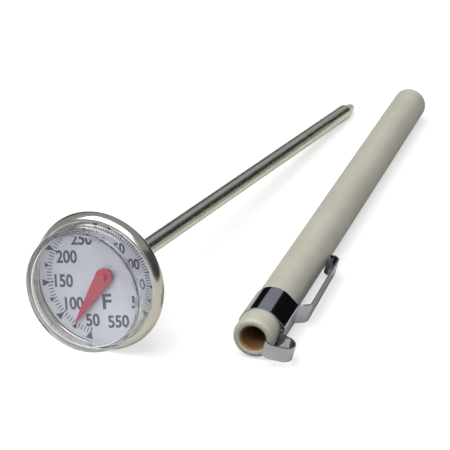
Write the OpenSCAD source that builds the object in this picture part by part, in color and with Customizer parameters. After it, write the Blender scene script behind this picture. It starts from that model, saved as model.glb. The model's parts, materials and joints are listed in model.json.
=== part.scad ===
// Pocket dial thermometer with its slip-on sheath and pocket clip.
// Millimetres. Z is up and the table is z = 0. +Y runs from the dial towards the tip,
// as seen from above. The thermometer lies on the rim of its head and on its tip,
// and the sheath lies beside it with its clip turned to the side and a little down.

/* [Head] */
// Outside radius of the bezel ring
bezel_r = 14.5; // [13.5:0.1:16]
// Outside radius of the lens where it leaves the bezel
lens_r = 12.73; // [12:0.01:12.8]
// Height of the lens edge in front of the bezel's widest line
lens_edge_h = 7.1; // [6:0.1:9]
// Radius of the lens's domed, magnifying front
dome_r = 32; // [24:1:60]
// Depth of the case back behind the bezel's widest line
case_depth = 4.4; // [4.2:0.1:6]
// How far the dial is turned from upright, clockwise seen from the front
dial_turn = -9; // [-30:1:30]

/* [Pointer] */
// Length of the pointer from the spindle to its point
pointer_len = 9.6; // [8:0.1:10.5]
// Radius of the pointer's broad end
pointer_wide = 1.5; // [0.9:0.05:1.8]
// Temperature that the pointer shows at rest, on a dial of 50 to 550 degrees
reading = 75; // [50:5:550]

/* [Stem] */
// Outside radius of the stem
stem_r = 1.85; // [1.8:0.01:2]
// Distance from the bezel's widest line to the very tip
tip_reach = 136.7; // [110:0.1:150]
// Length of the cone at the tip
cone_len = 5; // [3:0.1:7]
// Radius of the small flat at the very tip
tip_r = 0.9; // [0.5:0.1:1.2]

/* [Sheath] */
// Outside radius of the sheath at its mouth
mouth_r = 4.3; // [4.2:0.05:4.5]
// Outside radius of the sheath next to its closed end
closed_r = 4.05; // [3.8:0.05:4.2]
// Radius of the bore that takes the stem
bore_r = 2.55; // [2.2:0.05:2.8]
// Length of the sheath
sheath_len = 132.5; // [131.5:0.5:140]
// Thickness of the closed end
end_wall = 3; // [2:0.5:5]

/* [Clip] */
// Thickness of the clip's spring strip
strip_t = 0.4; // [0.3:0.05:0.5]
// Width of the strip along the sheath
strip_w = 4.4; // [3.6:0.1:5]
// Width of the strip round the loop
loop_w = 3.3; // [2.6:0.1:4]
// Thickness of the band that holds the strip
band_t = 0.3; // [0.2:0.05:0.4]
// Length of the band
band_len = 9.9; // [8:0.1:11]
// Angle that the clip points below level
clip_drop = 13.5; // [0:0.5:20]

/* [Hidden] */
$fn = 96;

// ---- Where the two items lie ----
// The middle of the whole model's footprint, measured from the bezel's centre
centre = [12.34, 64.78];
// It rests on the rolled edge of the bezel and on the wide end of the tip's cone
cone_start = tip_reach - cone_len;
roll_back = 1;
roll_mid = bezel_r - roll_back;
rest_run = [cone_start, roll_mid - stem_r];
stem_dip = atan(rest_run[1] / rest_run[0]) + asin(roll_back / norm(rest_run));
head_height = roll_mid * cos(stem_dip) + roll_back;
// The sheath's mouth, across and along from the bezel's centre, and its heading
mouth_at = [30.5, 7.3];
sheath_turn = 6.77;
band_start = 4.7;
band_r = mouth_r + band_t;
end_round = 0.9;
// It rests on the back edge of the band and on its own closed end
band_end = band_start + band_len;
sheath_dip = atan((band_r - closed_r) / (sheath_len - end_round - band_end));
mouth_height = band_r * cos(sheath_dip) + band_end * sin(sheath_dip);

// ---- Head, as distances s behind the bezel's widest line, lens at negative s ----
sheet = 0.5;
bezel_sheet = 0.4;
bezel_lip = 1.8;
lip_r = lens_r + 0.17;
cup_r = 12.6;
cup_corner = 2.2;
flange_r = 13.4;
flange_s = 0.05;
flange_end = flange_s + sheet;
gasket_t = 0.35;
lens_foot_s = flange_s - gasket_t;
lens_foot_t = 0.6;
lens_foot_r = 13.7;
lens_bore = 11.5;
ceiling = 5.8;
edge_round = 0.35;
dial_r = 11.8;
dial_t = 0.4;
dial_face = 1;
dial_back = dial_face + dial_t;

// ---- Bush, nut and stem ----
bush_flange_r = 3.6;
bush_flange_t = 1;
shank_r = 2.6;
nut_gap = 0.1;
nut_len = 2.7;
nut_flats = 8;
nut_end = case_depth + nut_gap + nut_len;
case_floor = case_depth - sheet;
washer_room = 0.5;
bush_back = case_floor - washer_room;
bush_front = bush_back - bush_flange_t;
neck_start = bush_front + 0.8;
neck_r = 1.68;
tube_bore = 1.5;
spigot = 2;

// ---- Spindle and coil ----
spindle_r = 0.4;
run_gap = 0.05;
coil_turns = 16;
coil_pitch = 2;
coil_outer = 1.35;
coil_strip_t = 0.25;
coil_strip_w = 1.1;
coil_steps = 16;
anchor_len = 2.5;
coil_end = cone_start - spigot - anchor_len;
coil_start = coil_end - coil_turns * coil_pitch;
hub_len = 2.5;
guide_len = 3;
boss_top = -0.15;
pointer_t = 0.25;
pointer_s = 0.3;
scale_low = 50;
scale_high = 550;
scale_sweep = 320;
scale_start = 200;
pointer_angle = dial_turn + scale_start + scale_sweep * (reading - scale_low) / (scale_high - scale_low);

// ---- Clip, as t along the sheath from its mouth and r out from its axis ----
strip_in = mouth_r;
strip_mid = strip_in + strip_t / 2;
strip_out = strip_in + strip_t;
band_corner = [strip_out + band_t, strip_w / 2 + 0.1];
loop_at = [0.55, 6.2];
loop_mid = 2.25;
bend_at = [3.3, strip_mid];
tail_knee = [-2.35, 4.3];
tail_end = [-1.45, 2.9];
arm_start = band_end + 0.15;
arm_top = [17.1, 6.95];
roll_at = [39.3, 5.5];
roll_r = 1.25;
arm_root_w = 4.4;
arm_tip_w = 3.8;

// Puts a shape that is drawn along +Z onto the thermometer's own axis
module along_stem() {
    translate([-centre[0], -centre[1], head_height])
        rotate([-(90 + stem_dip), 0, 0]) children();
}

// Puts a shape that is drawn along +Z, mouth at 0, onto the sheath's own axis
module along_sheath() {
    translate([mouth_at[0] - centre[0], mouth_at[1] - centre[1], mouth_height])
        rotate([0, 0, sheath_turn])
            rotate([-(90 + sheath_dip), 0, 0]) children();
}

// A round of the half-section whose points are [radius, distance along the axis]
module turned(points) {
    rotate_extrude() polygon(points);
}

// A plain round tube from one distance along the axis to another
module sleeve(outer, inner, from, to) {
    difference() {
        translate([0, 0, from]) cylinder(r = outer, h = to - from);
        translate([0, 0, from - 1]) cylinder(r = inner, h = to - from + 2);
    }
}

// Points of an arc in the half-section, from one angle to another
function arc(mid, across, along, from, to, steps) =
    [for (i = [0:steps]) let (a = from + (to - from) * i / steps)
        [mid[0] + across * cos(a), mid[1] + along * sin(a)]];

// ---- Stem ----

// Drawn stainless tube, with a slimmer neck where it sits in the bush
module stem_tube() {
    color("lightsteelblue") along_stem() turned([
        [tube_bore, neck_start], [neck_r, neck_start], [neck_r, nut_end],
        [stem_r, nut_end], [stem_r, cone_start], [tube_bore, cone_start]]);
}

// Solid point, pushed into the tube and welded
module stem_tip() {
    color("silver") along_stem() turned([
        [0, cone_start - spigot], [tube_bore - 0.02, cone_start - spigot],
        [tube_bore - 0.02, cone_start], [stem_r, cone_start],
        [tip_r, tip_reach - 0.25], [tip_r - 0.25, tip_reach], [0, tip_reach]]);
}

// Turned bush that joins the stem to the head, flange inside the case, shank outside
module stem_bush() {
    color("gainsboro") along_stem() difference() {
        union() {
            translate([0, 0, bush_front]) cylinder(r = bush_flange_r, h = bush_flange_t);
            translate([0, 0, bush_front]) cylinder(r = shank_r, h = nut_end - bush_front);
        }
        translate([0, 0, neck_start]) cylinder(r = neck_r + 0.02, h = nut_end);
        translate([0, 0, bush_front - 1]) cylinder(r = 1.3, h = nut_end);
    }
}

// Hex nut behind the case: hold it and turn the head to set the reading
module calibration_nut() {
    color("silver") along_stem() translate([0, 0, case_depth + nut_gap]) difference() {
        intersection() {
            cylinder(r = nut_flats / 2 / cos(30), h = nut_len, $fn = 6);
            cylinder(r1 = nut_flats / 2 + 0.2, r2 = nut_flats / 2 + 5, h = 4.8);
            translate([0, 0, nut_len - 4.8])
                cylinder(r1 = nut_flats / 2 + 5, r2 = nut_flats / 2 + 0.2, h = 4.8);
        }
        translate([0, 0, -1]) cylinder(r = shank_r + 0.02, h = nut_len + 2);
    }
}

// Bush that steadies the spindle above the coil
module lower_guide() {
    color("khaki") along_stem()
        sleeve(tube_bore - 0.02, spindle_r + run_gap,
               coil_start - hub_len - guide_len - 1, coil_start - hub_len - 1);
}

// Bush that steadies the spindle behind the dial
module upper_guide() {
    color("khaki") along_stem() {
        sleeve(2, spindle_r + run_gap, bush_front - 0.6, bush_front);
        sleeve(1.28, spindle_r + run_gap, bush_front, neck_start - 0.02);
    }
}

// Fixed end of the coil, held on the spigot of the tip
module coil_anchor() {
    color("goldenrod") along_stem() translate([0, 0, coil_end])
        cylinder(r = 1.3, h = anchor_len);
}

// Two-metal strip wound into a helix, fixed at the tip and turning the spindle
module bimetal_coil() {
    rings = coil_turns * coil_steps;
    usable = coil_turns * coil_pitch - coil_strip_w;
    function ring(i) =
        let (a = 360 * i / coil_steps,
             low = coil_start + usable * i / rings,
             inner = coil_outer - coil_strip_t)
        [[inner * cos(a), inner * sin(a), low],
         [coil_outer * cos(a), coil_outer * sin(a), low],
         [coil_outer * cos(a), coil_outer * sin(a), low + coil_strip_w],
         [inner * cos(a), inner * sin(a), low + coil_strip_w]];
    points = [for (i = [0:rings]) each ring(i)];
    sides = [for (i = [0:rings - 1], j = [0:3])
        let (k = 4 * i, n = (j + 1) % 4) [k + j, k + n, k + 4 + n, k + 4 + j]];
    last = 4 * rings;
    color("darkkhaki") along_stem()
        polyhedron(points, concat([[3, 2, 1, 0]], sides,
                                  [[last, last + 1, last + 2, last + 3]]));
}

// ---- Head ----

// Drawn cup with a flange at its open edge and a hole for the bush
module case_cup() {
    hole_r = shank_r + 0.08;
    corner = [cup_r - cup_corner, case_depth - cup_corner];
    bend_in = cup_corner - sheet;
    color("silver") along_stem() turned(concat(
        [[hole_r, case_floor]],
        arc(corner, bend_in, bend_in, 90, 0, 8),
        [[cup_r - sheet, flange_s], [flange_r, flange_s], [flange_r, flange_end],
         [cup_r, flange_end]],
        arc(corner, cup_corner, cup_corner, 0, 90, 8),
        [[hole_r, case_depth]]));
}

// Dished washer that gives the head its drag when it is turned
module friction_washer() {
    inner = shank_r + 0.15;
    color("dimgray") along_stem() turned([
        [inner, bush_back + 0.04], [bush_flange_r, case_floor - 0.24],
        [bush_flange_r, case_floor - 0.04], [inner, bush_back + 0.24]]);
}

// Polished ring that clamps the lens and the gasket onto the cup
module bezel_ring() {
    across = bezel_r - lip_r;
    bend_in = roll_back - bezel_sheet;
    color("lightgray") along_stem() turned(concat(
        arc([lip_r, 0], across, bezel_lip, -90, -5, 11),
        arc([roll_mid, 0], roll_back, roll_back, 0, 90, 8),
        [[cup_r + 0.1, roll_back], [cup_r + 0.1, bend_in]],
        arc([roll_mid, 0], bend_in, bend_in, 90, 0, 6),
        arc([lip_r, 0], across - bezel_sheet, bezel_lip - bezel_sheet, -8, -90, 10)));
}

// Flat rubber ring between the lens and the cup
module lens_gasket() {
    color("dimgray") along_stem() sleeve(lens_foot_r, lens_bore + 0.7, lens_foot_s, flange_s);
}

// Clear moulded lens: foot, tall straight wall and domed magnifying front
module lens() {
    edge_r = lens_r - edge_round;
    dome_mid = -lens_edge_h + sqrt(dome_r * dome_r - edge_r * edge_r);
    half = asin(edge_r / dome_r);
    foot_top = lens_foot_s - lens_foot_t;
    color("aliceblue", 0.5) along_stem() turned(concat(
        [[lens_bore, lens_foot_s], [lens_foot_r, lens_foot_s], [lens_foot_r, foot_top],
         [lens_r, foot_top], [lens_r, -lens_edge_h + edge_round]],
        arc([edge_r, -lens_edge_h + edge_round], edge_round, edge_round, -30, -90, 3),
        [for (i = [1:11]) let (a = half * (1 - i / 12))
            [dome_r * sin(a), dome_mid - dome_r * cos(a)]],
        [[0, dome_mid - dome_r], [0, -ceiling], [lens_bore - 0.3, -ceiling],
         [lens_bore, -ceiling + 0.3]]));
}

// Moulded ring that carries the dial inside the cup
module dial_spacer() {
    outer = cup_r - sheet - 0.1;
    corner_s = case_depth - cup_corner;
    color("whitesmoke") along_stem() turned([
        [10, dial_back], [outer, dial_back], [outer, corner_s],
        [outer - 0.7, case_floor - 0.5], [10, case_floor - 0.5]]);
}

// Printed metal dial with a clearance hole for the spindle
module dial_plate() {
    color("gainsboro") along_stem() sleeve(dial_r, 0.8, dial_face, dial_back);
}

// ---- What turns with the temperature ----

// Thin rod from the coil to the pointer
module spindle() {
    color("silver") along_stem() translate([0, 0, boss_top + 0.1])
        cylinder(r = spindle_r, h = coil_start - boss_top - 0.6);
}

// Collar that joins the moving end of the coil to the spindle
module coil_hub() {
    color("goldenrod") along_stem()
        sleeve(1.2, spindle_r, coil_start - hub_len, coil_start);
}

// Small collet that grips the spindle, with a seat for the pointer
module pointer_boss() {
    seat = pointer_s + pointer_t;
    color("firebrick") along_stem() {
        sleeve(0.6, spindle_r, boss_top, seat + 0.35);
        sleeve(1, 0.6, seat, seat + 0.25);
    }
}

// Flat tapered pointer, broad at the spindle and fine at the scale
module pointer() {
    point_r = 0.12;
    lean = asin((pointer_wide - point_r) / (pointer_len - point_r));
    wide_end = [for (a = [-90 - lean:-10:-270 + lean]) pointer_wide * [sin(a), -cos(a)]];
    fine_end = [for (i = [0:4]) let (a = 90 - lean - i * (180 - 2 * lean) / 4)
        [point_r * sin(a), -(pointer_len - point_r) - point_r * cos(a)]];
    color("crimson") along_stem() rotate([0, 0, pointer_angle]) translate([0, 0, pointer_s])
        linear_extrude(pointer_t) difference() {
            polygon(concat(wide_end, fine_end));
            circle(r = 0.62);
        }
}

// ---- Sheath ----

// Moulded tube with a closed end, slightly slimmer towards that end
module sheath_tube() {
    depth = sheath_len - end_wall;
    lip = 1;
    color("tan") along_sheath() turned(concat(
        [[bore_r, 0]],
        arc([mouth_r - lip, lip], lip, lip, -90, 0, 8),
        arc([closed_r - end_round, sheath_len - end_round], end_round, end_round, 0, 90, 6),
        [[0, sheath_len], [0, depth], [bore_r, depth]]));
}

// Cross-section of something wrapped round the tube and over the flat strip
module wrapped(round_r, corner) {
    reach = norm(corner);
    tilt = atan(corner[1] / corner[0]);
    touch = tilt + acos(round_r / reach);
    circle(r = round_r);
    polygon([[0, 0], round_r * [cos(touch), -sin(touch)], [corner[0], -corner[1]],
             corner, round_r * [cos(touch), sin(touch)]]);
}

// Plated band that wraps the sheath and holds the strip down
module clip_band() {
    color("darkgray") along_sheath() rotate([0, 0, clip_drop])
        translate([0, 0, band_start]) linear_extrude(band_len) difference() {
            wrapped(band_r, band_corner);
            wrapped(mouth_r, [strip_out, strip_w / 2]);
        }
}

// A straight stretch of strip in the side view, from one point to another
module stretch(from, to) {
    run = to - from;
    translate(from) rotate(atan2(run[1], run[0]))
        translate([0, -strip_t / 2]) square([norm(run), strip_t]);
}

// Turns a side view of t and r into a strip of the given width on the clip's side
module across_clip(width) {
    along_sheath() rotate([0, 0, clip_drop])
        rotate([-90, -90, 0]) translate([0, 0, -width / 2]) children();
}

// Side view of the strip under the band
module strip_seat() {
    stretch(bend_at - [strip_t, 0], [band_end, strip_mid]);
}

// Side view of a strip that follows a line of points at an even thickness
module ribbon(line) {
    last = len(line) - 1;
    function leg(i) = (line[i + 1] - line[i]) / norm(line[i + 1] - line[i]);
    function across(i) =
        let (before = leg(max(i - 1, 0)),
             after = leg(min(i, last - 1)),
             along = (before + after) / norm(before + after))
        strip_t / 2 / (along * after) * [-along[1], along[0]];
    polygon(concat([for (i = [0:last]) line[i] + across(i)],
                   [for (i = [last:-1:0]) line[i] - across(i)]));
}

// Side view of the loop that holds the stem crosswise
module strip_loop() {
    ribbon(concat([bend_at], arc(loop_at, loop_mid, loop_mid, 0, 180, 24),
                  [tail_knee, tail_end]));
}

// One strip: a flat seat under the band and a loop past the sheath's mouth
module clip_strip() {
    color("darkgray") {
        across_clip(strip_w) linear_extrude(strip_w) strip_seat();
        across_clip(loop_w) linear_extrude(loop_w) strip_loop();
    }
}

// Side view of the arm: out from the band, along the sheath, rolled at its end
module arm_side() {
    roll_mid_r = roll_r - strip_t / 2;
    ribbon(concat([[arm_start, strip_mid], arm_top],
                  arc(roll_at, roll_mid_r, roll_mid_r, 90, -190, 28)));
}

// The strip's free end, the spring that grips a pocket
module clip_arm() {
    color("darkgray") intersection() {
        across_clip(6) linear_extrude(6) arm_side();
        along_sheath() rotate([0, 0, clip_drop]) rotate([0, 90, 0])
            linear_extrude(12) polygon([
                [-arm_start, -arm_root_w / 2], [-arm_start, arm_root_w / 2],
                [-45, arm_tip_w / 2], [-45, -arm_tip_w / 2]]);
    }
}

stem_tube();
stem_tip();
stem_bush();
calibration_nut();
lower_guide();
upper_guide();
coil_anchor();
bimetal_coil();
case_cup();
friction_washer();
bezel_ring();
lens_gasket();
lens();
dial_spacer();
dial_plate();
spindle();
coil_hub();
pointer_boss();
pointer();
sheath_tube();
clip_band();
clip_strip();
clip_arm();
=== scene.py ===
"""Looks for a pocket dial thermometer and its slip-on sheath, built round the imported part."""

import json
import math

import bmesh
import bpy
from mathutils import Matrix, Vector


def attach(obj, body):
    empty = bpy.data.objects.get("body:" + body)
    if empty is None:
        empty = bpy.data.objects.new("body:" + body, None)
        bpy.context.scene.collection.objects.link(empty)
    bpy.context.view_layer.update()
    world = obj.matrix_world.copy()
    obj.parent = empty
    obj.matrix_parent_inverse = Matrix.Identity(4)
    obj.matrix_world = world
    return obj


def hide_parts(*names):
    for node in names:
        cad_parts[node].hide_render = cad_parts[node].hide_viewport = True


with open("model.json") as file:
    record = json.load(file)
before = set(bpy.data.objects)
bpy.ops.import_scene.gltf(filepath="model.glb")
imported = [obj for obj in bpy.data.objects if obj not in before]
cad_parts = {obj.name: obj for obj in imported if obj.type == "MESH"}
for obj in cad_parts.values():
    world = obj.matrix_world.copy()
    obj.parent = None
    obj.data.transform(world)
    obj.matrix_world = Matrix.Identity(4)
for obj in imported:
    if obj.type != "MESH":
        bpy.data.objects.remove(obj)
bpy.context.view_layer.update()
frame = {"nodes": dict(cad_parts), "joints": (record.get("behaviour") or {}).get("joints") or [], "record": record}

MM = 0.001
UP = Vector((0, 0, 1))
JOINTS = {joint["name"]: joint for joint in frame["joints"]}
MOUNTS = {mount["name"]: mount for mount in frame["record"]["mounts"]}


# ---- Places: every piece is drawn in millimetres along its own axis ----

def place(origin, along, side):
    """The matrix of an axis: +Z runs along it, +X to the given side, and it starts at origin."""
    z = Vector(along).normalized()
    y = z.cross(Vector(side)).normalized()
    turn = Matrix((y.cross(z), y, z)).transposed().to_4x4()
    return Matrix.Translation(origin) @ turn @ Matrix.Scale(MM, 4)


stem_joint = JOINTS["pointer_turn"]
bore = MOUNTS["sheath_bore"]
bore_out = Vector(bore["axis"])
mouth = Vector(bore["pos_m"]) + bore_out * bore["dims"]["length_mm"] / 2 * MM
STEM = place(stem_joint["pos_m"], stem_joint["axis"], (1, 0, 0))
SHEATH = place(mouth, -bore_out, UP.cross(bore_out))
CLIP = place(mouth, -bore_out, MOUNTS["pocket_clip"]["axis"])

# Head, as radius and distance behind the bezel's widest line
BEZEL_R = 14.5
BEZEL_LIP = 1.8
BEZEL_ROLL = 1.0
BEZEL_SHEET = 0.4
LENS_R = 12.73
LENS_EDGE = 7.1
DOME_R = 32.0
LENS_BORE = 11.5
CEILING = 5.8
FOOT_R = 13.7
FOOT_BACK = -0.3
FOOT_FRONT = -0.9
CUP_R = 12.6
CUP_CORNER = 2.2
CUP_BACK = 4.4
SHEET = 0.5
BUSH_HOLE = 2.68
FLANGE_R = 13.4
FLANGE = (0.05, 0.55)
DIAL_R = 11.8
DIAL_FACE = 1.0
DIAL_BACK = 1.4
DIAL_TURN = math.radians(-9)

# Stem
STEM_R = MOUNTS["stem"]["dims"]["r_mm"]
TUBE_BORE = 1.5
NECK_R = 1.68
NECK_START = 3.2
NUT_END = 7.2
CONE_START = 131.7
TIP_END = 136.7
TIP_R = 0.9
SPIGOT_R = 1.48
SPIGOT_START = CONE_START - 2

# Sheath and clip
MOUTH_R = 4.3
CLOSED_R = 4.05
BORE_R = bore["dims"]["r_mm"]
BORE_DEPTH = bore["dims"]["length_mm"]
SHEATH_LEN = 132.5
BAND = (4.7, 14.6)
BAND_SHEET = 0.3
STRIP_T = 0.4
STRIP_W = 4.4
LOOP_W = 3.3
LOOP_AT = (0.55, 6.2)
LOOP_MID = 2.25
LOOP_ROOT = 3.3
TAIL_KNEE = (-2.35, 4.3)
TAIL_END = (-1.45, 2.9)


# ---- Building ----

def finished(bm, name, at, body, paint, smooth=35):
    """A bmesh in millimetres on its axis becomes a named piece in its place, riding its body."""
    bmesh.ops.transform(bm, matrix=at, verts=bm.verts)
    bmesh.ops.recalc_face_normals(bm, faces=bm.faces)
    mesh = bpy.data.meshes.new(name)
    bm.to_mesh(mesh)
    bm.free()
    mesh.materials.append(paint)
    mesh.shade_smooth()
    mesh.set_sharp_from_angle(angle=math.radians(smooth))
    piece = bpy.data.objects.new(name, mesh)
    bpy.context.scene.collection.objects.link(piece)
    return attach(piece, body)


def eased(corners, ease=0.12, steps=3):
    """A half-section whose corners (r, s) or (r, s, ease) are rounded; corners on the axis stay."""
    line = []
    count = len(corners)
    for i, corner in enumerate(corners):
        here = Vector(corner[:2])
        room = corner[2] if len(corner) > 2 else ease
        before = Vector(corners[i - 1][:2]) - here
        after = Vector(corners[(i + 1) % count][:2]) - here
        reach = min(room, before.length * 0.45, after.length * 0.45)
        if here.x < 1e-6 or reach < 1e-4:
            line.append(tuple(here))
            continue
        a, b = here + before.normalized() * reach, here + after.normalized() * reach
        for k in range(steps + 1):
            t = k / steps
            line.append(tuple(a * (1 - t) ** 2 + here * 2 * t * (1 - t) + b * t * t))
    return line


def arc(middle, across, along, start, stop, steps):
    """Points of an elliptical arc in a half-section, angles in degrees."""
    angles = [math.radians(start + (stop - start) * i / steps) for i in range(steps + 1)]
    return [(middle[0] + across * math.cos(a), middle[1] + along * math.sin(a)) for a in angles]


def held(section, room=0.15):
    """Adds a point near each end of every long straight, so that it is shaded as straight."""
    line = []
    for i, corner in enumerate(section):
        here, after = Vector(corner), Vector(section[(i + 1) % len(section)])
        line.append(tuple(here))
        if (after - here).length > 6 * room and max(here.x, after.x) > room:
            step = (after - here).normalized() * room
            line += [tuple(here + step), tuple(after - step)]
    return line


def turned(section, steps=128):
    """Spins a closed half-section of (radius, distance) round the axis into a solid."""
    section = held(section)
    bm = bmesh.new()
    points = [bm.verts.new((r, 0, s)) for r, s in section]
    on_axis = [r < 1e-6 for r, s in section]
    edges = []
    for i, point in enumerate(points):
        j = (i + 1) % len(points)
        if not (on_axis[i] and on_axis[j]):
            edges.append(bm.edges.new((point, points[j])))
    bmesh.ops.spin(bm, geom=points + edges, cent=(0, 0, 0), axis=(0, 0, 1),
                   angle=math.tau, steps=steps, use_merge=True)
    bmesh.ops.remove_doubles(bm, verts=bm.verts, dist=1e-5)
    return bm


def eased_edges(bm, width, segments=2, sharper=30):
    """Bevels every edge that turns by more than the given angle."""
    edges = [e for e in bm.edges if len(e.link_faces) == 2
             and e.calc_face_angle(0) > math.radians(sharper)]
    bmesh.ops.bevel(bm, geom=edges, offset=width, offset_type="OFFSET", segments=segments,
                    profile=0.5, affect="EDGES", clamp_overlap=True, material=-1)
    return bm


# ---- Materials ----

def blank(name):
    paint = bpy.data.materials.new(name)
    paint.use_nodes = True
    paint.node_tree.nodes.clear()
    return paint, paint.node_tree


def add(tree, kind, **values):
    """Adds a node; each value is an input by name, with spaces as underscores."""
    node = tree.nodes.new(kind)
    for key, value in values.items():
        node.inputs[key.replace("_", " ")].default_value = value
    return node


def grain(tree, size, stretch=(1, 1, 1), turn=(0, 0, 0), detail=4.0, rough=0.5):
    """Noise in object space; size is its blob size in mm, stretched along each axis."""
    place_at = tree.nodes.new("ShaderNodeTexCoord")
    turned_to = add(tree, "ShaderNodeMapping", Rotation=turn,
                    Scale=tuple(1 / (size * MM * s) for s in stretch))
    noise = add(tree, "ShaderNodeTexNoise", Scale=1.0, Detail=detail, Roughness=rough)
    tree.links.new(place_at.outputs["Object"], turned_to.inputs["Vector"])
    tree.links.new(turned_to.outputs["Vector"], noise.inputs["Vector"])
    return noise.outputs["Fac"]


def spread(tree, source, low, high, into):
    """Maps the middle of a noise onto the range low to high."""
    node = add(tree, "ShaderNodeMapRange", From_Min=0.3, From_Max=0.7, To_Min=low, To_Max=high)
    tree.links.new(source, node.inputs["Value"])
    tree.links.new(node.outputs["Result"], into)


def two_tone(tree, source, first, second, into):
    """Blends two colours by a noise."""
    node = add(tree, "ShaderNodeMix")
    node.data_type = "RGBA"
    node.inputs[6].default_value = (*first, 1)
    node.inputs[7].default_value = (*second, 1)
    ramp = add(tree, "ShaderNodeMapRange", From_Min=0.35, From_Max=0.65)
    tree.links.new(source, ramp.inputs["Value"])
    tree.links.new(ramp.outputs["Result"], node.inputs[0])
    tree.links.new(node.outputs[2], into)


def raised(tree, source, height, shader):
    """Gives the shader a bump of the given height in mm."""
    bump = add(tree, "ShaderNodeBump", Strength=1.0, Distance=height * MM)
    tree.links.new(source, bump.inputs["Height"])
    tree.links.new(bump.outputs["Normal"], shader.inputs["Normal"])


def surface(tree, shader):
    out = tree.nodes.new("ShaderNodeOutputMaterial")
    tree.links.new(shader.outputs[0], out.inputs["Surface"])
    return shader


AXIS_TURN = (math.radians(5.5), 0, 0)


def metal(name, light, dark, smooth, rough, stretch, size=0.25, height=0.002, turn=AXIS_TURN):
    """Worked metal: fine streaks in tone, roughness and relief."""
    paint, tree = blank(name)
    shader = surface(tree, add(tree, "ShaderNodeBsdfPrincipled", Metallic=1.0))
    streaks = grain(tree, size, stretch, turn)
    blotches = grain(tree, 6, (1, 1, 1), turn, 2)
    two_tone(tree, blotches, dark, light, shader.inputs["Base Color"])
    spread(tree, streaks, smooth, rough, shader.inputs["Roughness"])
    raised(tree, streaks, height, shader)
    return paint


def moulded(name, light, dark, rough, size=0.5, height=0.004, depth=0.0, blotch=8, specular=0.5):
    """Moulded plastic or rubber: soft mottling and a fine skin."""
    paint, tree = blank(name)
    shader = surface(tree, add(tree, "ShaderNodeBsdfPrincipled", Specular_IOR_Level=specular))
    if depth:
        shader.inputs["Subsurface Weight"].default_value = depth
        shader.inputs["Subsurface Radius"].default_value = (1.0, 0.7, 0.35)
        shader.inputs["Subsurface Scale"].default_value = 1.2 * MM
    two_tone(tree, grain(tree, blotch, detail=2), dark, light, shader.inputs["Base Color"])
    skin = grain(tree, size)
    spread(tree, skin, rough - 0.06, rough + 0.06, shader.inputs["Roughness"])
    raised(tree, skin, height, shader)
    return paint


def clear(name):
    """Clear moulded acrylic that bends what is seen through it and lets the lamps in."""
    paint, tree = blank(name)
    glass = add(tree, "ShaderNodeBsdfPrincipled", Base_Color=(0.965, 0.975, 0.985, 1),
                IOR=1.49, Transmission_Weight=1.0)
    spread(tree, grain(tree, 3), 0.0, 0.02, glass.inputs["Roughness"])
    through = add(tree, "ShaderNodeBsdfTransparent", Color=(0.93, 0.94, 0.95, 1))
    rays = tree.nodes.new("ShaderNodeLightPath")
    both = tree.nodes.new("ShaderNodeMixShader")
    tree.links.new(rays.outputs["Is Shadow Ray"], both.inputs[0])
    tree.links.new(glass.outputs[0], both.inputs[1])
    tree.links.new(through.outputs[0], both.inputs[2])
    surface(tree, both)
    return paint


def printed(name, colour, worn, rough=0.45):
    """Screen-printed ink, a little uneven."""
    paint, tree = blank(name)
    shader = surface(tree, add(tree, "ShaderNodeBsdfPrincipled"))
    two_tone(tree, grain(tree, 0.35), colour, worn, shader.inputs["Base Color"])
    spread(tree, grain(tree, 0.2), rough - 0.08, rough + 0.08, shader.inputs["Roughness"])
    return paint


ALONG = (1, 60, 1)
AROUND = (40, 1, 40)
STEEL = metal("satin stainless", (0.82, 0.82, 0.74), (0.74, 0.74, 0.67), 0.22, 0.32, ALONG)
NUT_STEEL = metal("turned stainless", (0.62, 0.62, 0.60), (0.54, 0.54, 0.52), 0.18, 0.30, AROUND)
BRIGHT = metal("polished stainless", (0.68, 0.67, 0.62), (0.62, 0.61, 0.565), 0.13, 0.20,
               (8, 1, 8), 0.3, 0.0006)
PLATE = metal("bright plating", (0.52, 0.53, 0.60), (0.46, 0.47, 0.54), 0.06, 0.12,
              ALONG, 0.2, 0.0006, (0, 0, math.radians(-6.8)))
CUP_STEEL = metal("drawn stainless", (0.60, 0.595, 0.57), (0.50, 0.50, 0.48), 0.20, 0.32, AROUND)
BRASS = metal("turned brass", (0.70, 0.52, 0.24), (0.58, 0.42, 0.18), 0.22, 0.36, AROUND)
COIL = metal("rolled bimetal strip", (0.50, 0.47, 0.42), (0.40, 0.36, 0.31), 0.25, 0.40, ALONG)
SPRING = metal("blued spring steel", (0.20, 0.21, 0.25), (0.12, 0.13, 0.17), 0.25, 0.35, AROUND)
ACRYLIC = clear("clear acrylic")
DIAL = moulded("satin dial enamel", (0.46, 0.46, 0.51), (0.42, 0.42, 0.47), 0.42, 0.08, 0.001,
               blotch=5)
INK = printed("navy ink", (0.012, 0.014, 0.035), (0.035, 0.04, 0.07))
RED = printed("red enamel", (0.36, 0.014, 0.05), (0.28, 0.011, 0.04), 0.32)
DARK_RED = printed("dark red enamel", (0.36, 0.02, 0.04), (0.28, 0.015, 0.03), 0.3)
SHEATH_SKIN = moulded("beige moulded plastic", (0.54, 0.525, 0.445), (0.50, 0.485, 0.41), 0.42,
                      0.35, 0.003, 0.12)
# The brown of the bore wall is painted shade: it stands for the shade deep in the bore and the warm light coming
# through its wall.
BORE_PAINTED_SHADE = moulded("bore wall painted shade", (0.38, 0.21, 0.085), (0.22, 0.125, 0.05), 0.5,
                    0.35, 0.003, blotch=3)
RUBBER = moulded("pale silicone rubber", (0.42, 0.42, 0.41), (0.37, 0.37, 0.36), 0.6, 0.15, 0.004)
SPACER = moulded("white spacer plastic", (0.62, 0.62, 0.60), (0.56, 0.56, 0.54), 0.5)


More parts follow.
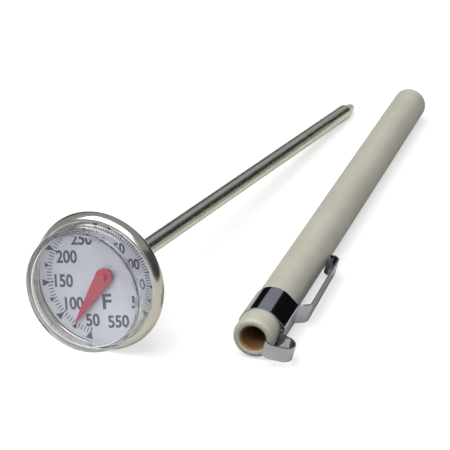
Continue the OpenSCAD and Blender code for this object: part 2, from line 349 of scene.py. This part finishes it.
def shown(bm, name, at, body, paint, slot, *nodes, smooth=35):
    """Finishes a piece and hides the imported nodes that it stands for; slot is not used."""
    piece = finished(bm, name, at, body, paint, smooth)
    if nodes:
        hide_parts(*nodes)
    return piece


# ---- Stem ----

def stem_pieces():
    tube = turned(eased([(TUBE_BORE, NECK_START), (NECK_R, NECK_START), (NECK_R, NUT_END),
                         (STEM_R, NUT_END, 0.1), (STEM_R, CONE_START, 0.04),
                         (TUBE_BORE, CONE_START)], 0.02), 96)
    shown(tube, "stem", STEM, "stem", STEEL, "stainless", "stem_tube")
    tip = turned(eased([(0, SPIGOT_START), (SPIGOT_R, SPIGOT_START), (SPIGOT_R, CONE_START),
                        (STEM_R, CONE_START, 0.05), (TIP_R, TIP_END - 0.25, 0.3),
                        (TIP_R - 0.3, TIP_END, 0.15), (0, TIP_END)], 0.02), 96)
    shown(tip, "point", STEM, "stem", STEEL, "stainless", "stem_tip")


# ---- Head ----

def head_pieces():
    corner = (CUP_R - CUP_CORNER, CUP_BACK - CUP_CORNER)
    bend_in = CUP_CORNER - SHEET
    cup = turned([(BUSH_HOLE, CUP_BACK - SHEET)] + arc(corner, bend_in, bend_in, 90, 0, 12)
                 + [(CUP_R - SHEET, FLANGE[0]), (FLANGE_R - 0.05, FLANGE[0]),
                    (FLANGE_R, FLANGE[0] + 0.05), (FLANGE_R, FLANGE[1] - 0.05),
                    (FLANGE_R - 0.05, FLANGE[1]), (CUP_R + 0.08, FLANGE[1]),
                    (CUP_R, FLANGE[1] + 0.08)]
                 + arc(corner, CUP_CORNER, CUP_CORNER, 0, 90, 16)
                 + [(BUSH_HOLE + 0.06, CUP_BACK), (BUSH_HOLE, CUP_BACK - 0.06)])
    shown(cup, "case", STEM, "head", CUP_STEEL, "stainless", "case_cup")

    lip = LENS_R + 0.17
    across = BEZEL_R - lip
    thin = BEZEL_SHEET
    roll_at = (BEZEL_R - BEZEL_ROLL, 0)
    outside = arc((lip, 0), across, BEZEL_LIP, -88, -4, 20)
    inside = arc((lip, 0), across - thin, BEZEL_LIP - thin, -6, -88, 16)
    back = BEZEL_ROLL
    ring = turned([(lip, -BEZEL_LIP + 0.1)] + outside
                  + arc(roll_at, back, back, 0, 90, 12)
                  + [(CUP_R + 0.16, back), (CUP_R + 0.1, back - 0.06),
                     (CUP_R + 0.1, back - thin)]
                  + arc(roll_at, back - thin, back - thin, 90, 0, 10) + inside, 192)
    shown(ring, "bezel", STEM, "head", BRIGHT, "polished_steel", "bezel_ring", smooth=50)

    ease = 0.35
    edge_r = LENS_R - ease
    dome_mid = math.sqrt(DOME_R ** 2 - edge_r ** 2) - LENS_EDGE
    half = math.degrees(math.asin(edge_r / DOME_R))
    dome = arc((0, dome_mid), DOME_R, DOME_R, half - 90, -90, 32)
    lens = turned([(LENS_BORE, FOOT_BACK), (FOOT_R, FOOT_BACK), (FOOT_R, FOOT_FRONT),
                   (LENS_R, FOOT_FRONT), (LENS_R, ease - LENS_EDGE)]
                  + arc((edge_r, ease - LENS_EDGE), ease, ease, -15, -62, 4) + dome
                  + [(0, -CEILING)]
                  + arc((LENS_BORE - 0.3, 0.3 - CEILING), 0.3, 0.3, -90, 0, 4), 192)
    shown(lens, "lens_clear", STEM, "head", ACRYLIC, "clear_lens", "lens", smooth=25)


# ---- Dial ----

FACE = (STEM @ Matrix.Rotation(math.pi, 4, "X") @ Matrix.Rotation(-DIAL_TURN, 4, "Z")
        @ Matrix.Translation((0, 0, -DIAL_FACE)))
SCALE_START = 200
SCALE_STEP = 0.64
INK_T = 0.02
NUDGE = {50: (-0.35, -0.45, 0), 550: (-1.0, -0.8, 0)}


def dial_angle(reading):
    """Clockwise from the top of the dial, in degrees."""
    return SCALE_START + SCALE_STEP * (reading - 50)


def outward(reading, radius):
    """A matrix at this place on the dial with +Y pointing outwards."""
    turn = Matrix.Rotation(-math.radians(dial_angle(reading)), 4, "Z")
    return turn @ Matrix.Translation((0, radius, 0))


def tick(bm, reading, inner, outer, width):
    at = outward(reading, (inner + outer) / 2) @ Matrix.Diagonal((width, outer - inner, 1, 1))
    bmesh.ops.create_grid(bm, x_segments=1, y_segments=1, size=0.5, matrix=at)


def arrowhead(bm, reading, apex, base, width):
    """A triangle whose flat side is outwards."""
    tall = (base - apex) / 1.5
    at = (outward(reading, apex + tall) @ Matrix.Diagonal((width / math.sqrt(3) / tall, 1, 1, 1))
          @ Matrix.Rotation(math.pi, 4, "Z"))
    bmesh.ops.create_circle(bm, cap_ends=True, segments=3, radius=tall, matrix=at)


def inked(bm):
    """Gives flat ink its thickness, half sunk in the dial."""
    grown = bmesh.ops.extrude_face_region(bm, geom=bm.faces[:])["geom"]
    bmesh.ops.translate(bm, vec=(0, 0, INK_T),
                        verts=[v for v in grown if isinstance(v, bmesh.types.BMVert)])
    bmesh.ops.translate(bm, vec=(0, 0, -INK_T / 4), verts=bm.verts)
    return bm


def dial_pieces():
    plate = turned(eased([(0.8, DIAL_FACE), (DIAL_R, DIAL_FACE, 0.08), (DIAL_R, DIAL_BACK, 0.08),
                          (0.8, DIAL_BACK)], 0.04))
    shown(plate, "dial", STEM, "head", DIAL, "dial_face", "dial_plate")

    marks = bmesh.new()
    for reading in range(50, 551, 5):
        if reading % 50 == 0:
            tick(marks, reading, 9.2, 10.1, 0.2)
            arrowhead(marks, reading, 9.85, 11.3, 1.25)
        elif reading % 25 == 0:
            tick(marks, reading, 9.45, 10.0, 0.16)
            arrowhead(marks, reading, 9.8, 10.8, 0.85)
        else:
            tick(marks, reading, 9.45, 10.4, 0.15)
    shown(inked(marks), "dial_marks", FACE, "head", INK, "dial_face")

    # the lowest and highest numbers stand left of their marks, clear of the edge
    words = bmesh.new()
    for reading in range(50, 551, 50):
        spot = outward(reading, 7.4).translation
        spot += Vector(NUDGE.get(reading, (0, 0, 0)))
        lettered(words, str(reading), spot, 2.2, 0.84, 0.06)
    lettered(words, "F", Vector((-0.15, -4.3, 0)), 2.6, 1.05, 0.06)
    shown(inked(words), "dial_numbers", FACE, "head", INK, "dial_face")


def lettered(bm, text, middle, tall, narrow, bold):
    """Adds flat characters of the given height, centred on a point of the dial."""
    curve = bpy.data.curves.new(text, "FONT")
    curve.body = text
    curve.align_x, curve.align_y = "LEFT", "BOTTOM_BASELINE"
    curve.offset = bold / tall
    curve.resolution_u = 6
    holder = bpy.data.objects.new(text, curve)
    bpy.context.scene.collection.objects.link(holder)
    flat = bpy.data.meshes.new_from_object(holder.evaluated_get(
        bpy.context.evaluated_depsgraph_get()))
    bpy.data.objects.remove(holder)
    xs = [v.co.x for v in flat.vertices]
    ys = [v.co.y for v in flat.vertices]
    size = tall / (max(ys) - min(ys))
    flat.transform(Matrix.Translation(middle)
                   @ Matrix.Diagonal((size * narrow, size, 1, 1))
                   @ Matrix.Translation((-(max(xs) + min(xs)) / 2, -(max(ys) + min(ys)) / 2, 0)))
    old = len(bm.verts)
    bm.from_mesh(flat)
    bpy.data.meshes.remove(flat)
    bm.verts.ensure_lookup_table()
    bmesh.ops.remove_doubles(bm, verts=bm.verts[old:], dist=1e-5)


# ---- Pointer ----

READING = 75
POINTER_LEN = 9.6
POINTER_WIDE = 1.5
POINTER_AT = (0.3, 0.55)
BOSS = (-0.15, 0.9)


def pointer_pieces():
    turn = math.radians(dial_angle(READING)) + DIAL_TURN
    at = STEM @ Matrix.Rotation(turn, 4, "Z")
    fine = 0.12
    lean = math.asin((POINTER_WIDE - fine) / (POINTER_LEN - fine))
    outline = []
    steps = 40
    for i in range(steps + 1):
        a = -math.pi / 2 - lean - (math.pi - 2 * lean) * i / steps
        outline.append((POINTER_WIDE * math.sin(a), -POINTER_WIDE * math.cos(a)))
    for i in range(9):
        a = math.pi / 2 - lean - (math.pi - 2 * lean) * i / 8
        outline.append((fine * math.sin(a), -(POINTER_LEN - fine) - fine * math.cos(a)))
    bm = bmesh.new()
    loop = [bm.verts.new((x, y, POINTER_AT[0])) for x, y in outline]
    edges = [bm.edges.new((v, loop[i - 1])) for i, v in enumerate(loop)]
    hole = bmesh.ops.create_circle(bm, segments=48, radius=0.62,
                                   matrix=Matrix.Translation((0, 0, POINTER_AT[0])))["verts"]
    edges += list({e for v in hole for e in v.link_edges})
    bmesh.ops.triangle_fill(bm, use_beauty=True, use_dissolve=False, edges=edges)
    grown = bmesh.ops.extrude_face_region(bm, geom=bm.faces[:])["geom"]
    bmesh.ops.translate(bm, vec=(0, 0, POINTER_AT[1] - POINTER_AT[0]),
                        verts=[v for v in grown if isinstance(v, bmesh.types.BMVert)])
    eased_edges(bm, 0.05, 2, 50)
    shown(bm, "needle", at, "pointer", RED, "pointer_red", "pointer", smooth=20)
    seat = POINTER_AT[1]
    boss = turned(eased([(0, BOSS[0]), (0.6, BOSS[0], 0.12), (0.6, seat), (1.0, seat),
                         (1.0, seat + 0.25), (0.6, seat + 0.25), (0.6, BOSS[1]),
                         (0.42, BOSS[1]), (0.42, BOSS[0] + 0.08), (0, BOSS[0] + 0.08)],
                        0.03), 64)
    shown(boss, "needle_boss", STEM, "pointer", DARK_RED, "brass", "pointer_boss")


# ---- Sheath and its clip ----

MOUTH_ROUND = 0.9
BORE_ROUND = 0.8
END_ROUND = 0.9
DRILL_ROUND = 0.8


def sheath_piece():
    skin = turned(
        [(BORE_R, BORE_ROUND + 0.2)]
        + arc((BORE_R + BORE_ROUND, BORE_ROUND), BORE_ROUND, BORE_ROUND, 180, 270, 5)
        + arc((MOUTH_R - MOUTH_ROUND, MOUTH_ROUND), MOUTH_ROUND, MOUTH_ROUND, -90, 0, 12)
        + arc((CLOSED_R - END_ROUND, SHEATH_LEN - END_ROUND), END_ROUND, END_ROUND, 0, 90, 8)
        + [(0, SHEATH_LEN), (0, BORE_DEPTH)]
        + arc((BORE_R - DRILL_ROUND, BORE_DEPTH - DRILL_ROUND), DRILL_ROUND, DRILL_ROUND,
              90, 0, 4), 128)
    # The faces inside the bore take the brown painted shade, which stands for shade and warm glow in the recess.
    for face in skin.faces:
        if all(v.co.xy.length < BORE_R + 0.45 and 0.05 < v.co.z < BORE_DEPTH + 0.01
               for v in face.verts):
            face.material_index = 1
    piece = shown(skin, "sheath", SHEATH, "sheath", SHEATH_SKIN, "sheath_plastic",
                  "sheath_tube", smooth=40)
    piece.data.materials.append(BORE_PAINTED_SHADE)


def bent(line, room, steps=6):
    """An open line of points whose inner corners are turned into smooth bends."""
    made = [line[0]]
    for before, here, after in zip(line, line[1:], line[2:]):
        here, back, on = Vector(here), Vector(before) - Vector(here), Vector(after) - Vector(here)
        reach = min(room, back.length * 0.45, on.length * 0.45)
        a, b = here + back.normalized() * reach, here + on.normalized() * reach
        made += [tuple(a * (1 - k / steps) ** 2 + here * 2 * k / steps * (1 - k / steps)
                       + b * (k / steps) ** 2) for k in range(steps + 1)]
    return made + [line[-1]]


def strip(name, line, width_at, body, node):
    """A spring strip of even thickness that follows a line of (t, r) points."""
    bm = bmesh.new()
    last = len(line) - 1
    past = None
    for i, (t, r) in enumerate(line):
        (t0, r0), (t1, r1) = line[max(i - 1, 0)], line[min(i + 1, last)]
        along = Vector((r1 - r0, 0, t1 - t0)).normalized()
        across = Vector((0, 1, 0))
        turn = Matrix((across.cross(along), across, along)).transposed().to_4x4()
        here = (Matrix.Translation((r, 0, t)) @ turn
                @ Matrix.Diagonal((STRIP_T, width_at(t, i / last), 1, 1)))
        if past is None:
            bmesh.ops.create_grid(bm, x_segments=1, y_segments=1, size=0.5, matrix=here)
            face = bm.faces[:][0]
        else:
            made = bmesh.ops.extrude_face_region(bm, geom=[face])["geom"]
            corners = [g for g in made if isinstance(g, bmesh.types.BMVert)]
            face = next(g for g in made if isinstance(g, bmesh.types.BMFace))
            bmesh.ops.transform(bm, matrix=here @ past.inverted(), verts=corners)
        past = here
    long_edges = [e for e in bm.edges if len(e.link_faces) == 2
                  and e.calc_face_angle(0) > math.radians(60)]
    bmesh.ops.bevel(bm, geom=long_edges, offset=0.08, offset_type="OFFSET", segments=2,
                    profile=0.5, affect="EDGES", clamp_overlap=True, material=-1)
    return shown(bm, name, CLIP, body, PLATE, "clip_plating", node, smooth=20)


ARM_START = BAND[1] + 0.15
ARM_TOP = (17.1, 6.95)
ROLL_AT = (39.3, 5.5)
ROLL_MID = 1.05
ARM_TAPER = 0.6 / 30.25


def clip_pieces():
    seat = MOUTH_R + STRIP_T / 2
    turn_down = (LOOP_AT[0] - LOOP_MID, LOOP_AT[1])
    start = bent([(BAND[1], seat), (6.5, seat), (LOOP_ROOT, seat),
                  (LOOP_AT[0] + LOOP_MID, LOOP_AT[1])], 0.55)
    loop = arc(LOOP_AT, LOOP_MID, LOOP_MID, 0, 180, 36)
    tail = bent([turn_down, TAIL_KNEE, TAIL_END], 0.7)

    def strip_width(t, share):
        free = min(max((t - 3.4) / 1.0, 0), 1) if share < 0.35 else 0
        return LOOP_W + (STRIP_W - LOOP_W) * free * free * (3 - 2 * free)

    strip("clip_loop", start + loop[1:] + tail[1:], strip_width, "sheath", "clip_strip")

    roll_top = (ROLL_AT[0], ROLL_AT[1] + ROLL_MID)
    arm = bent([(ARM_START, seat), ARM_TOP, roll_top], 0.9)
    roll = arc(ROLL_AT, ROLL_MID, ROLL_MID, 88, -190, 40)
    strip("clip_spring", arm[:-1] + roll,
          lambda t, share: STRIP_W - ARM_TAPER * (t - ARM_START), "clip_arm", "clip_arm")
    band_piece()


def wrap(round_r, corner, ease):
    """Outline of something wrapped round the tube and over the flat strip."""
    touch = math.atan2(corner[1], corner[0]) + math.acos(round_r / math.hypot(*corner))
    tangent = [(round_r * math.cos(touch), -round_r * math.sin(touch)), (corner[0], -corner[1]),
               corner, (round_r * math.cos(touch), round_r * math.sin(touch))]
    turns = math.degrees(touch)
    return bent(tangent, ease, 4) + arc((0, 0), round_r, round_r, turns + 3, 357 - turns, 80)


def band_piece():
    bm = bmesh.new()
    edges = []
    over = MOUTH_R + STRIP_T
    half = STRIP_W / 2
    for round_r, corner, ease in (
            (MOUTH_R + BAND_SHEET, (over + BAND_SHEET, half + 0.1), 0.45),
            (MOUTH_R, (over, half), 0.3)):
        loop = [bm.verts.new((x, y, BAND[0])) for x, y in wrap(round_r, corner, ease)]
        edges += [bm.edges.new((v, loop[i - 1])) for i, v in enumerate(loop)]
    bmesh.ops.bridge_loops(bm, edges=edges)
    grown = bmesh.ops.extrude_face_region(bm, geom=bm.faces[:])["geom"]
    bmesh.ops.translate(bm, vec=(0, 0, BAND[1] - BAND[0]),
                        verts=[v for v in grown if isinstance(v, bmesh.types.BMVert)])
    eased_edges(bm, 0.07, 2, 60)
    shown(bm, "clip_band_bright", CLIP, "sheath", PLATE, "clip_plating", "clip_band", smooth=20)


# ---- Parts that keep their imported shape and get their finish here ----

KEPT = {
    "calibration_nut": NUT_STEEL, "stem_bush": NUT_STEEL, "spindle": STEEL,
    "lower_guide": BRASS, "upper_guide": BRASS, "coil_anchor": BRASS, "coil_hub": BRASS,
    "bimetal_coil": COIL, "friction_washer": SPRING, "lens_gasket": RUBBER,
    "dial_spacer": SPACER,
}


def kept_pieces():
    for name, paint in KEPT.items():
        node = frame["nodes"][name]
        if not node.material_slots:
            node.data.materials.append(paint)
        for slot in node.material_slots:
            slot.link = "OBJECT"
            slot.material = paint


# ---- Studio ----

HEADING = math.radians(25.02)
PITCH = math.radians(25.5)
AHEAD = Vector((-math.sin(HEADING), math.cos(HEADING), 0))
RIGHT = Vector((math.cos(HEADING), math.sin(HEADING), 0))
LOOK = AHEAD * math.cos(PITCH) - UP * math.sin(PITCH)
LIFT = AHEAD * math.sin(PITCH) + UP * math.cos(PITCH)
HEAD_AT = Vector(stem_joint["pos_m"])


def camera():
    """The lens stands 418 mm from the dial, with the dial left of the middle of its view."""
    lens = bpy.data.cameras.new("camera")
    lens.sensor_width = 36
    lens.lens = 167.3
    lens.clip_start = 0.01
    holder = bpy.data.objects.new("camera", lens)
    bpy.context.scene.collection.objects.link(holder)
    holder.location = HEAD_AT + (RIGHT * 25.23 + LIFT * 11.165 - LOOK * 417.89) * MM
    holder.rotation_mode = "QUATERNION"
    holder.rotation_quaternion = LOOK.to_track_quat("-Z", "Y")
    bpy.context.scene.camera = holder


def plain(name, colour, rough=0.9, glow=0.0):
    paint, tree = blank(name)
    shader = surface(tree, add(tree, "ShaderNodeBsdfPrincipled", Roughness=rough,
                               Base_Color=(*colour, 1), Specular_IOR_Level=0.0))
    shader.inputs["Emission Color"].default_value = (*colour, 1)
    shader.inputs["Emission Strength"].default_value = glow
    return paint


def card(name, size, at, towards, paint, seen):
    """A flat studio card facing a point; seen is the kinds of ray that meet it."""
    bm = bmesh.new()
    bmesh.ops.create_grid(bm, x_segments=1, y_segments=1, size=0.5,
                          matrix=Matrix.Diagonal((*size, 1, 1)))
    turn = (Vector(towards) - Vector(at)).to_track_quat("Z", "Y").to_matrix().to_4x4()
    bmesh.ops.transform(bm, matrix=Matrix.Translation(at) @ turn, verts=bm.verts)
    mesh = bpy.data.meshes.new(name)
    bm.to_mesh(mesh)
    bm.free()
    mesh.materials.append(paint)
    piece = bpy.data.objects.new(name, mesh)
    bpy.context.scene.collection.objects.link(piece)
    for kind in ("camera", "diffuse", "glossy", "transmission", "shadow"):
        setattr(piece, "visible_" + kind, kind in seen)
    return piece


def direction(azimuth, elevation, distance):
    """A place in the studio; azimuth 0 is beyond the tip and 90 to the sheath's side."""
    a, e = math.radians(azimuth), math.radians(elevation)
    return Vector((math.sin(a) * math.cos(e), math.cos(a) * math.cos(e), math.sin(e))) * distance


def lamp(name, azimuth, elevation, distance, size, brightness, seen):
    """A soft box; brightness is its radiance, whatever its size."""
    light = bpy.data.lights.new(name, "AREA")
    light.shape = "RECTANGLE"
    light.size, light.size_y = size
    light.energy = brightness * math.pi * size[0] * size[1]
    holder = bpy.data.objects.new(name, light)
    bpy.context.scene.collection.objects.link(holder)
    holder.location = direction(azimuth, elevation, distance)
    holder.rotation_mode = "QUATERNION"
    holder.rotation_quaternion = (-holder.location).to_track_quat("-Z", "Y")
    for kind in ("diffuse", "glossy", "transmission"):
        setattr(holder, "visible_" + kind, kind in seen)


def studio():
    bm = bmesh.new()
    bmesh.ops.create_circle(bm, cap_ends=True, segments=64, radius=8)
    mesh = bpy.data.meshes.new("floor")
    bm.to_mesh(mesh)
    bm.free()
    mesh.materials.append(plain("white floor", (0.5, 0.5, 0.5), 0.9, 1.2))
    floor = bpy.data.objects.new("floor", mesh)
    bpy.context.scene.collection.objects.link(floor)
    floor.visible_diffuse = False

    world = bpy.data.worlds.new("studio")
    world.use_nodes = True
    world.node_tree.nodes["Background"].inputs["Color"].default_value = (0.97, 0.98, 1.0, 1)
    world.node_tree.nodes["Background"].inputs["Strength"].default_value = 0.35
    bpy.context.scene.world = world
    bpy.context.scene.view_settings.view_transform = "Standard"

    lamp("key", -163, 68, 1.5, (1.5, 1.3), 3.8, ("diffuse",))
    lamp("sheen", -163, 51, 1.5, (1.5, 1.3), 4.4, ("glossy", "transmission"))

    black = plain("black flag", (0.012, 0.012, 0.014))
    grey = plain("grey flag", (0.10, 0.10, 0.105))
    only = ("glossy",)
    card("table_sheen", (3, 3), (0, 0, 0.0001), (0, 0, 1),
         plain("pale table card", (0.65, 0.63, 0.57)), only)
    card("table_bounce", (3, 3), (0, 0, -0.0001), (0, 0, 1),
         plain("grey table card", (0.40, 0.39, 0.37)), ("diffuse",))
    card("flag_behind_right", (0.84, 0.78), direction(28, 14, 1.2), (0, 0, 0.25), black, only)
    card("flag_right", (2.4, 0.9), direction(100, 22, 1.2), (0, 0, 0.4), grey, only)
    card("flag_behind_left", (1.0, 0.56), direction(-44, 12, 1.2), (0, 0, 0.25), black, only)


stem_pieces()
head_pieces()
dial_pieces()
pointer_pieces()
sheath_piece()
clip_pieces()
kept_pieces()
camera()
studio()
